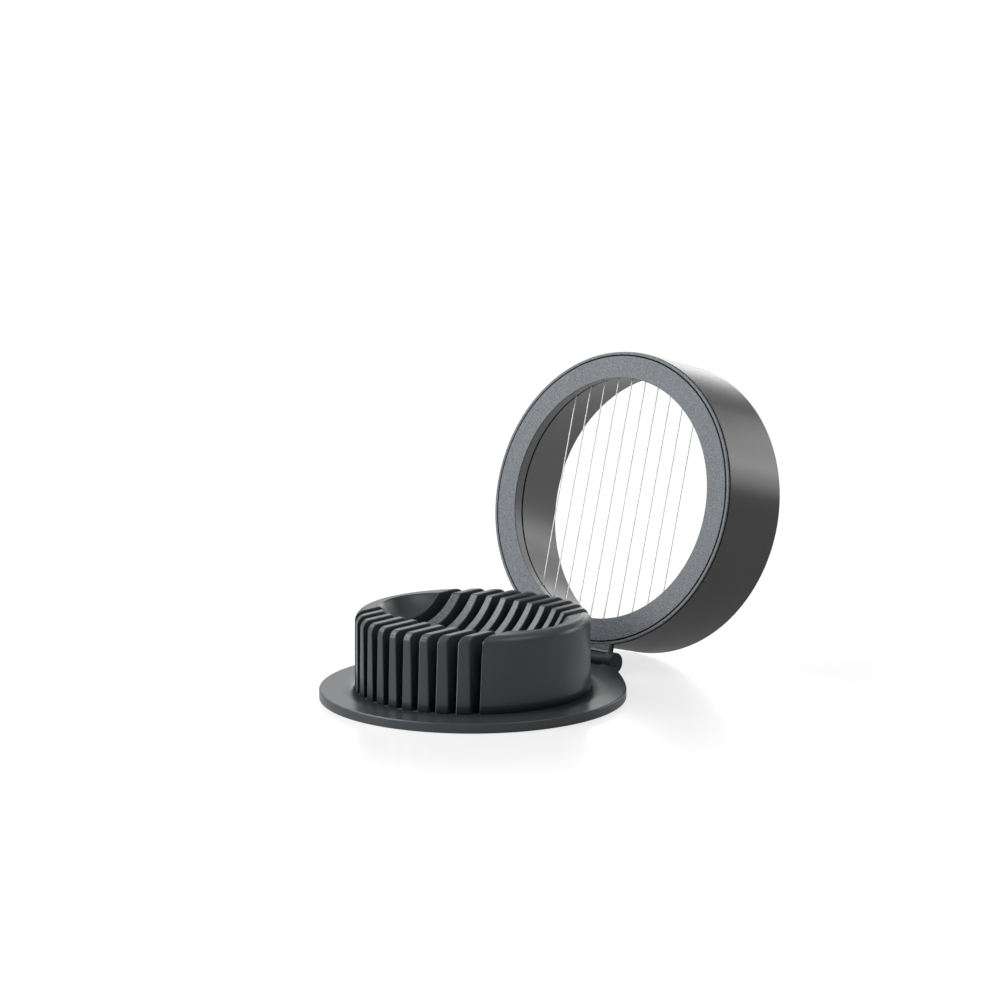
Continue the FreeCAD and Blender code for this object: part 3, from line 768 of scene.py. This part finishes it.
# Hinge pin. A drawn steel pin pressed through the barrel into the ears; only its sides show, in the
# narrow gaps between barrel and ears.
streak_cells = (6000.0, 300.0, 300.0)
streak_dark = 0.86
streak_gloss = 0.1


def blend_colours(start, factor, first, second):
    """Mix of two colours by a factor."""
    sockets = {0: factor, 6: (*first, 1.0), 7: (*second, 1.0)}
    return start.node("ShaderNodeMix", sockets, out=2, data_type="RGBA")


def drawn_steel(name, tint, rough):
    """Drawn steel: a clean metal with faint lengthwise streaks in tone and gloss."""
    material, start = new_finish(name)
    place = start.node("ShaderNodeTexCoord", out="Object")
    stretched = start.node("ShaderNodeMapping", {"Vector": place, "Scale": streak_cells})
    streak = start.node("ShaderNodeTexNoise", {"Vector": stretched, "Scale": 1.0, "Detail": 2.0}, out="Fac")
    dark = tuple(streak_dark * part for part in tint)
    shader = start.node("ShaderNodeBsdfPrincipled", {
        "Base Color": blend_colours(start, ease(start, streak, noise_low, noise_high), dark, tint),
        "Roughness": rough + streak_gloss * (streak - 0.5), "Metallic": 1.0,
    })
    start.node("ShaderNodeOutputMaterial", {"Surface": shader})
    return material


pin = frame["nodes"]["hinge_pin"]
pin.data.materials.clear()
pin.data.materials.append(drawn_steel("pin_steel", (0.6, 0.6, 0.61), 0.32))

# Cutting wires. Straight drawn steel wire, hard and bright, strung tight across the ring. Each end lies
# in a notch of the frame and is held by a stop in the channel behind the face.
wire_radius = 0.18
wire_depth = 4.7
wire_tail = 2.2
stop_radius = 0.75
wire_turns = np.radians(np.linspace(0, 360, 16, endpoint=False))
wire_steel = drawn_steel("wire_steel", (0.66, 0.66, 0.67), 0.28)
for number, x in enumerate(wire_x, 1):
    half_length = math.sqrt(channel_in ** 2 - (abs(x) - stop_radius) ** 2) + wire_tail
    lengths = np.linspace(-half_length, half_length, 40)[:, None]
    tube = np.stack(np.broadcast_arrays(x + wire_radius * np.cos(wire_turns), lengths,
                                        face + wire_depth + wire_radius * np.sin(wire_turns)), -1)
    wire = surface(f"cutting_wire_{number:02d}", [(swing_open(tube), False, True, True)])
    wire.data.materials.append(wire_steel)
    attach(wire, "lid")
    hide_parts(f"wire_{number:02d}")

# Wire stops. Short steel tubes crimped on the wire ends, which keep the wires tight; they are shut away
# in the channel between the frame and the face ring.
stop_steel = drawn_steel("stop_steel", (0.55, 0.55, 0.57), 0.4)
for name in ("wire_stops_front", "wire_stops_rear"):
    stops = frame["nodes"][name]
    stops.data.materials.clear()
    stops.data.materials.append(stop_steel)

# Face ring. The flat front of the lid, a separate ring of speckled blue-grey plastic pressed into the
# frame over the wires; its inner lip meets the frame in a fine seam, painted dark as shade.
face_out = 43.6
face_rim_back = 1.2
face_spigot = 42.15
face_back = 2.4
lip_out = 39.18
lip_end = 4.36
bevel_end = 0.55
bevel_step = 0.04
face_skin = 0.12
face_fade = 0.08
wall_start = 0.2
edge_start = 0.15
edge_end = 0.5
edge_out = 38.0
face_turns = np.radians(np.linspace(0, 360, 300, endpoint=False))
face_profile = eased_profile([
    (bore(0.0), 0.0, 0.12), (face_out, 0.0, 0.08), (face_out, face_rim_back, 0.05),
    (face_spigot, face_rim_back, 0.05), (face_spigot, face_back, 0.1), (lip_out, face_back, 0.1),
    (lip_out, lip_end, 0.1), (bore(lip_end), lip_end, 0.1), (bore(bevel_end) + bevel_step, bevel_end, 0.02),
])
face_ring = surface("face_ring", [(swing_open(ring(face_profile, face_turns)), True, True, False)])


def on_face(points):
    """1 on the flat face, falling to 0 just behind its edges."""
    return (face_skin - about_axis(points)[1]) / face_fade


def face_edge_painted_shade(points):
    """1 on the groove's and seam's walls, and half just behind the face's inner edge: painted shade."""
    radius, depth = about_axis(points)
    walls = (depth > wall_start) & (radius > bore(depth) + lip_skin)
    inner_edge = between(depth, edge_start, edge_end) & (radius < edge_out)
    return np.where(walls, 1.0, np.where(inner_edge, 0.5, 0.0))


mark(face_ring, "front", on_face)
# Painted shade in the groove, the seam and along the face's inner edge.
mark(face_ring, "painted_shade", face_edge_painted_shade)
face_resin = ((0.14, 0.142, 0.146), 0.36, 0.1, 0.5)
face_ring.data.materials.append(moulded("face_plastic", face_resin, front=textured_rim))
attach(face_ring, "lid")
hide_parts("clamp_ring")

# Lid band. The smooth outer sleeve, a plain tube of warm dark grey plastic pushed on from behind up to
# the frame's shoulder and cut away at the front where the hinge tab passes.
band_in = 44.4
band_out = 45.0
band_bore = 43.4
band_front = 0.92
band_back = lid_height - 0.06
band_lip = 44.84
tab_gap = 0.15
tab_clear = 2.55
cut_squeeze = 0.1
cut_step = 0.0004
cut_turn = math.acos((barrel_side + tab_gap) / plate_radius)
cut_turns = np.array([cut_turn - cut_step, cut_turn + cut_step])
band_turns = np.sort(np.concatenate([np.radians(np.linspace(0, 360, 300, endpoint=False)),
                                     cut_turns, math.pi - cut_turns]))
band_profile = eased_profile([
    (band_in, band_front, 0.1), (band_out, band_front, 0.12), (band_out, band_back, 0.25),
    (band_bore, band_back, 0.12), (band_bore, shoulder_back, 0.05), (band_in, shoulder_back, 0.05),
])
band_ring = ring(band_profile, band_turns)
behind_tab = between(band_turns, cut_turn, math.pi - cut_turn)
cut_back = face + tab_clear + cut_squeeze * (band_ring[..., 2] - face - band_front)
raised = np.maximum(band_ring[..., 2], cut_back)
band_ring[..., 2] = np.where(behind_tab[:, None], raised, band_ring[..., 2])
band = surface("band", [(swing_open(band_ring), True, True, False)])


def gap_painted_shade(points):
    """1 on the inner part of the band's front edge, which faces the gap: painted shade."""
    radius, depth = about_axis(points)
    return np.where((radius < band_lip) & (depth < shoulder_back + 0.1), 1.0, 0.0)


# Painted shade on the band's edge inside the gap.
mark(band, "painted_shade", gap_painted_shade)
band_resin = ((0.046, 0.0454, 0.0448), 0.26, 0.04, 0.5)
band.data.materials.append(moulded("band_plastic", band_resin))
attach(band, "lid")
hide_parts("lid_band")

# Table and backdrop. A plain white surface that runs on under the object, keeps its shadow and close by
# its faint mirror image, and gives way to the white world further out. Soft boxes light the object.
table_half = 6.0
table_grey = 0.55
table_matt = 0.16
table_glow = 0.75
table_gloss = 0.35
sheen_strength = 0.2
sheen_rough = 0.25
sheen_blank = 0.16
sheen_fade = (0.055, 0.115)
table_fade = (0.3, 0.6)
world_ambient = 0.08
world_gloss = 0.5
lamp_aim = Vector((0.0, 0.03, 0.04))


def grey(level):
    """A colour with all its parts the same."""
    return (level, level, level, 1.0)


def white_rays(start, in_gloss):
    """1 for rays straight from the camera or through a clear piece, and a share for those by way of a
    gloss, which see the rest of the table as it is lit."""
    rays = [start.node("ShaderNodeLightPath", out=kind) for kind in
            ("Is Camera Ray", "Is Transmission Ray", "Is Glossy Ray")]
    return start.math("MINIMUM", rays[0] + rays[1] + in_gloss * rays[2], 1.0)


corners = [(-table_half, -table_half, 0), (table_half, -table_half, 0),
           (table_half, table_half, 0), (-table_half, table_half, 0)]
table_mesh = bpy.data.meshes.new("table")
table_mesh.from_pydata(corners, [], [(0, 1, 2, 3)])
table = bpy.data.objects.new("table", table_mesh)
bpy.context.scene.collection.objects.link(table)
table_white, start = new_finish("table_white")
place = start.node("ShaderNodeTexCoord", out="Object")
away = start.node("ShaderNodeVectorMath", {0: place}, out="Value", operation="LENGTH")
paper = start.node("ShaderNodeBsdfDiffuse", {"Color": grey(table_grey)})
matt = start.node("ShaderNodeBsdfDiffuse", {"Color": grey(table_matt)})
glow = start.node("ShaderNodeEmission", {"Color": grey(1.0), "Strength": table_glow})
sheen = start.node("ShaderNodeBsdfAnisotropic", {"Color": grey(sheen_strength), "Roughness": sheen_rough})
blank = start.node("ShaderNodeEmission", {"Color": grey(1.0), "Strength": sheen_blank})
faded = start.node("ShaderNodeMixShader", {0: ease(start, away, *sheen_fade), 1: sheen, 2: blank})
lifted = start.node("ShaderNodeAddShader", {0: matt, 1: glow})
lifted = start.node("ShaderNodeAddShader", {0: lifted, 1: faded})
lit = start.node("ShaderNodeMixShader", {0: white_rays(start, table_gloss), 1: paper, 2: lifted})
clear = start.node("ShaderNodeBsdfTransparent")
both = start.node("ShaderNodeMixShader", {0: ease(start, away, *table_fade), 1: lit, 2: clear})
start.node("ShaderNodeOutputMaterial", {"Surface": both})
table_mesh.materials.append(table_white)

world = bpy.data.worlds.new("studio")
bpy.context.scene.world = world
world.use_nodes = True
world.node_tree.nodes.clear()
start = Tone(world.node_tree)
brightness = world_ambient + (1.0 - world_ambient) * white_rays(start, world_gloss)
light = start.node("ShaderNodeBackground", {"Color": grey(1.0), "Strength": brightness})
start.node("ShaderNodeOutputWorld", {"Surface": light})


def soft_box(name, place, wide, high, power):
    """A rectangular studio lamp at a place in metres, turned towards the object."""
    lamp = bpy.data.lights.new(name, "AREA")
    lamp.shape = "RECTANGLE"
    lamp.size = wide
    lamp.size_y = high
    lamp.energy = power
    item = bpy.data.objects.new(name, lamp)
    item.location = place
    item.rotation_euler = (lamp_aim - Vector(place)).to_track_quat("-Z", "Y").to_euler()
    item.visible_camera = False
    bpy.context.scene.collection.objects.link(item)


soft_box("left_high", (-0.45, -0.5, 0.7), 0.5, 0.5, 4.2)
soft_box("left_low", (-0.55, -0.85, 0.28), 0.5, 0.4, 3.0)
soft_box("left_side", (-0.62, -0.05, 0.68), 0.6, 0.6, 2.3)
soft_box("front", (-0.2, -0.95, 0.45), 0.5, 0.4, 1.6)
soft_box("right_high", (0.6, 0.1, 0.75), 0.5, 0.5, 1.2)
soft_box("back_right", (0.233, 0.962, 0.316), 0.6, 0.2, 0.9)
soft_box("back_side", (0.464, 0.902, 0.196), 0.25, 0.2, 0.38)
soft_box("back_left", (-0.656, 0.686, 0.415), 0.4, 0.3, 0.5)
soft_box("back", (-0.448, 0.91, 0.196), 0.4, 0.25, 0.62)
soft_box("back_low", (0.139, 1.018, 0.11), 0.25, 0.12, 0.3)

# Camera. A long lens at the photograph's height and side, fitted to the rims of the plate and the lid.
# It stands on a line through the frame's origin, and is panned and tilted from there.
camera_turn = math.radians(41.856)
camera_lift = math.radians(13.775)
camera_range = 1.00397
camera_pan = math.radians(-0.4676)
camera_tilt = math.radians(3.2744)
focal_pixels = 3419.55
image_pixels = 1000.0
sensor = 36.0


def direction(heading, pitch):
    """The unit vector at a heading from +X about Z and a pitch above the level."""
    return Vector((math.cos(pitch) * math.cos(heading), math.cos(pitch) * math.sin(heading), math.sin(pitch)))


heading = math.pi / 2 + camera_turn
toward = direction(heading, -camera_lift)
sight = direction(heading + camera_pan, camera_tilt - camera_lift)
right = sight.cross(Vector((0, 0, 1))).normalized()
up = right.cross(sight)
turned = Matrix((right, up, -sight)).transposed().to_4x4()
lens = bpy.data.cameras.new("camera")
lens.sensor_width = sensor
lens.lens = focal_pixels * sensor / image_pixels
lens.clip_start = 0.01
camera = bpy.data.objects.new("camera", lens)
camera.matrix_world = Matrix.Translation(-toward * camera_range) @ turned
bpy.context.scene.collection.objects.link(camera)
bpy.context.scene.camera = camera
bpy.context.scene.view_settings.view_transform = "Standard"

bpy.context.view_layer.update()
